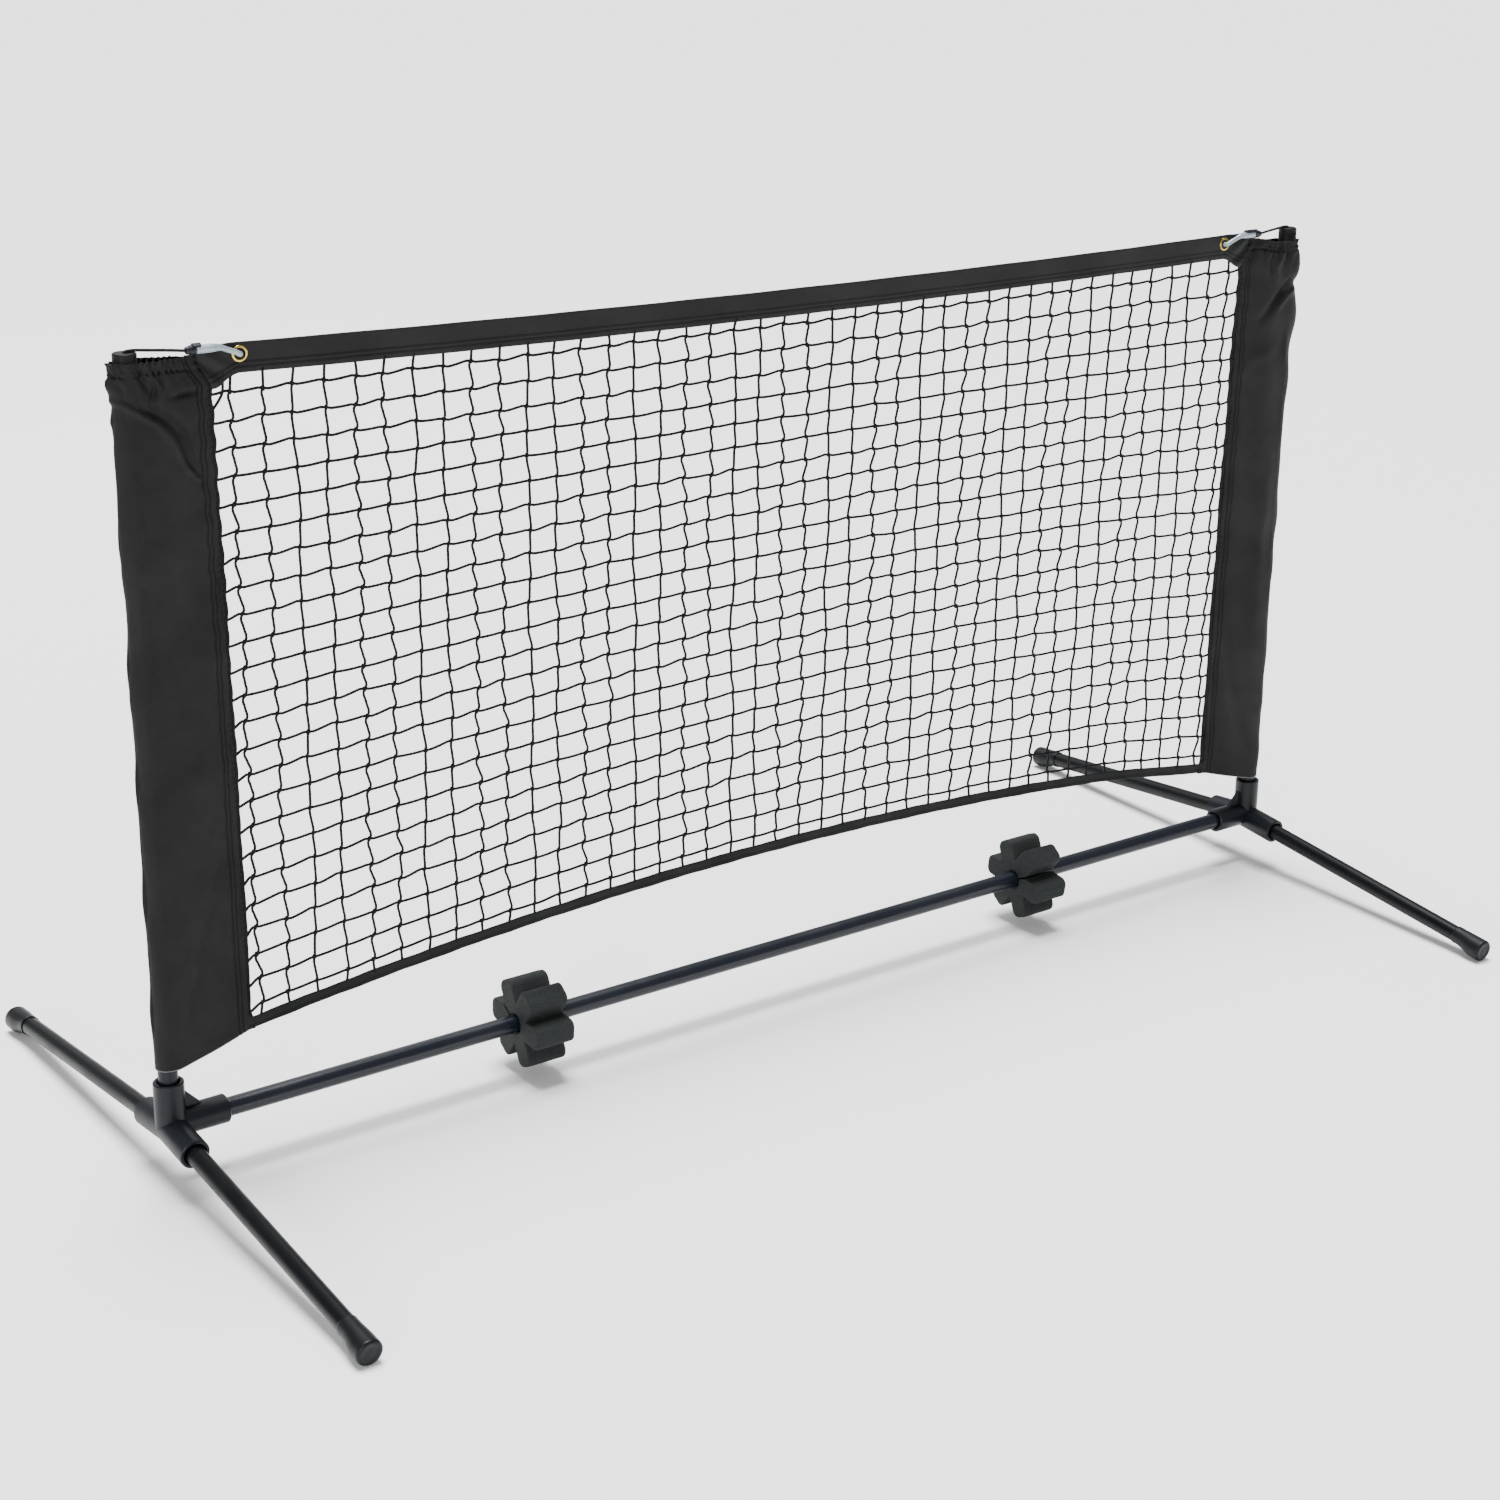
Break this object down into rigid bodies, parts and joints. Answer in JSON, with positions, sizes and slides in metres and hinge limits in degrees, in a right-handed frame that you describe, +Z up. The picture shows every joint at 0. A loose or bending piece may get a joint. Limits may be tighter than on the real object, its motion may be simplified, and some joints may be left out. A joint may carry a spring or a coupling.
{
  "type": "portable practice net",
  "caption": "Free-standing racket-sport practice net: knotted mesh with top and bottom tapes between sleeved posts, on corner tees with splayed feet, a base bar and foam wheels.",
  "frame": {"origin": "on the ground, midway between the two posts", "axes": "+X along the net to the right seen from the front, +Y to the rear, +Z up"},
  "size_m": [1.555, 0.8416, 0.8543],
  "materials": {
    "tee_plastic": "injection-moulded nylon with a fine grain",
    "bar_coat": "smooth semi-gloss powder coat on steel tube",
    "spigot_steel": "plain drawn steel",
    "cap_plastic": "moulded plastic with a soft edge",
    "foot_coat": "satin powder coat on steel tube",
    "foot_rubber": "moulded rubber",
    "wheel_foam": "closed-cell foam, matte with fine pores",
    "panel_cloth": "closely woven polyester, slight satin",
    "binding_tape": "folded polyester tape, stitched",
    "elastic": "braided cover over rubber strands",
    "tape_cloth": "coated polyester tape, stitched lengthways",
    "net_twine": "knotted polyethylene twine",
    "hem_cloth": "folded polyester tape",
    "eyelet_brass": "rolled brass, lightly worn",
    "clip_plastic": "moulded plastic",
    "hook_steel": "pale grey coated steel"
  },
  "bodies": {
    "base": {"left_corner_tee": "tee_plastic", "right_corner_tee": "tee_plastic", "base_bar_left": "bar_coat", "base_bar_right": "bar_coat", "base_bar_spigot": "spigot_steel"},
    "net_frame": {"left_post": "bar_coat", "right_post": "bar_coat", "left_post_cap": "cap_plastic", "right_post_cap": "cap_plastic", "left_side_panel": "panel_cloth", "right_side_panel": "panel_cloth", "left_panel_binding": "binding_tape", "right_panel_binding": "binding_tape", "left_hem_elastic": "elastic", "right_hem_elastic": "elastic", "top_tape": "tape_cloth", "net_mesh": "net_twine", "bottom_tape": "hem_cloth", "left_eyelet": "eyelet_brass", "right_eyelet": "eyelet_brass", "left_eyelet_washer": "eyelet_brass", "right_eyelet_washer": "eyelet_brass"},
    "front_left_foot": {"front_left_foot_tube": "foot_coat", "front_left_foot_cap": "foot_rubber"},
    "front_right_foot": {"front_right_foot_tube": "foot_coat", "front_right_foot_cap": "foot_rubber"},
    "rear_left_foot": {"rear_left_foot_tube": "foot_coat", "rear_left_foot_cap": "foot_rubber"},
    "rear_right_foot": {"rear_right_foot_tube": "foot_coat", "rear_right_foot_cap": "foot_rubber"},
    "left_wheel": {"left_foam_wheel": "wheel_foam"},
    "right_wheel": {"right_foam_wheel": "wheel_foam"},
    "left_hook_line": {"left_tension_cord": "elastic", "left_cord_clip": "clip_plastic", "left_hook": "hook_steel"},
    "right_hook_line": {"right_tension_cord": "elastic", "right_cord_clip": "clip_plastic", "right_hook": "hook_steel"}
  },
  "joints": [
    {"name": "net_frame_lift", "type": "slide", "parent": "base", "child": "net_frame", "axis": [0, 0, 1], "range_m": [0, 0.034]},
    {"name": "front_left_foot_pull", "type": "slide", "parent": "base", "child": "front_left_foot", "axis": [0, -0.9951, -0.0988], "range_m": [0, 0.04]},
    {"name": "front_right_foot_pull", "type": "slide", "parent": "base", "child": "front_right_foot", "axis": [0, -0.9951, -0.0988], "range_m": [0, 0.04]},
    {"name": "rear_left_foot_pull", "type": "slide", "parent": "base", "child": "rear_left_foot", "axis": [0, 0.9951, -0.0988], "range_m": [0, 0.04]},
    {"name": "rear_right_foot_pull", "type": "slide", "parent": "base", "child": "rear_right_foot", "axis": [0, 0.9951, -0.0988], "range_m": [0, 0.04]},
    {"name": "left_wheel_spin", "type": "hinge", "parent": "base", "child": "left_wheel", "pos_m": [-0.342, 0, 0.0625], "axis": [1, 0, 0], "continuous": true},
    {"name": "right_wheel_spin", "type": "hinge", "parent": "base", "child": "right_wheel", "pos_m": [0.374, 0, 0.0625], "axis": [1, 0, 0], "continuous": true},
    {"name": "left_hook_swing", "type": "hinge", "parent": "net_frame", "child": "left_hook_line", "pos_m": [-0.762, 0, 0.85], "axis": [0, 0, -1], "range_deg": [0, 60]},
    {"name": "right_hook_swing", "type": "hinge", "parent": "net_frame", "child": "right_hook_line", "pos_m": [0.762, 0, 0.85], "axis": [0, 0, 1], "range_deg": [0, 60]}
  ]
}
